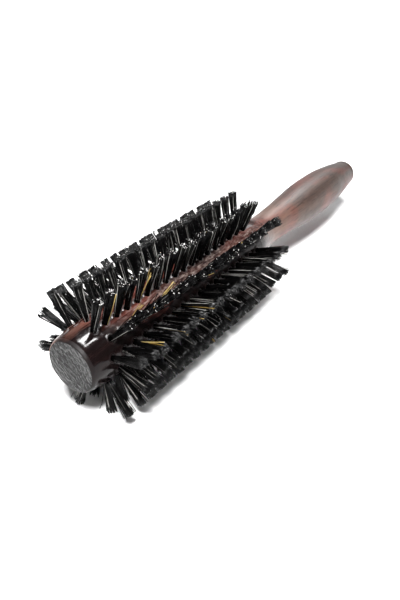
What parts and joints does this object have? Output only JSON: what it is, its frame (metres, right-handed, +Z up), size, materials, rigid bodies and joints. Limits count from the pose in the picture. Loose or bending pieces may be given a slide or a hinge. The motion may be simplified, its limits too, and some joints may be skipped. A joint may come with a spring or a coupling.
{
  "type": "round barrel brush",
  "caption": "Round hair brush: a turned, lacquered wooden barrel and handle in one piece, with staggered rows of straight bristle tufts all round the barrel.",
  "frame": {"origin": "centre of the flat end face of the barrel, on the brush axis", "axes": "+X along the brush axis from the barrel end towards the handle, +Z up with the brush lying on two neighbouring rows of tufts, +Y completes the right-handed frame"},
  "size_m": [0.243, 0.0528, 0.0528],
  "materials": {
    "lacquered_wood": "dark mahogany stain under gloss lacquer, bare end grain on the barrel end",
    "bristle": "near-black bristle with a soft sheen",
    "anchor_steel": "drawn wire"
  },
  "bodies": {
    "root": {"wooden_body": "lacquered_wood", "bristle_row_01": "bristle", "bristle_row_02": "bristle", "bristle_row_03": "bristle", "bristle_row_04": "bristle", "bristle_row_05": "bristle", "bristle_row_06": "bristle", "bristle_row_07": "bristle", "bristle_row_08": "bristle", "bristle_row_09": "bristle", "bristle_row_10": "bristle", "bristle_row_11": "bristle", "bristle_row_12": "bristle", "anchor_wire_01": "anchor_steel", "anchor_wire_02": "anchor_steel", "anchor_wire_03": "anchor_steel", "anchor_wire_04": "anchor_steel", "anchor_wire_05": "anchor_steel", "anchor_wire_06": "anchor_steel", "anchor_wire_07": "anchor_steel", "anchor_wire_08": "anchor_steel", "anchor_wire_09": "anchor_steel", "anchor_wire_10": "anchor_steel", "anchor_wire_11": "anchor_steel", "anchor_wire_12": "anchor_steel"}
  },
  "joints": []
}
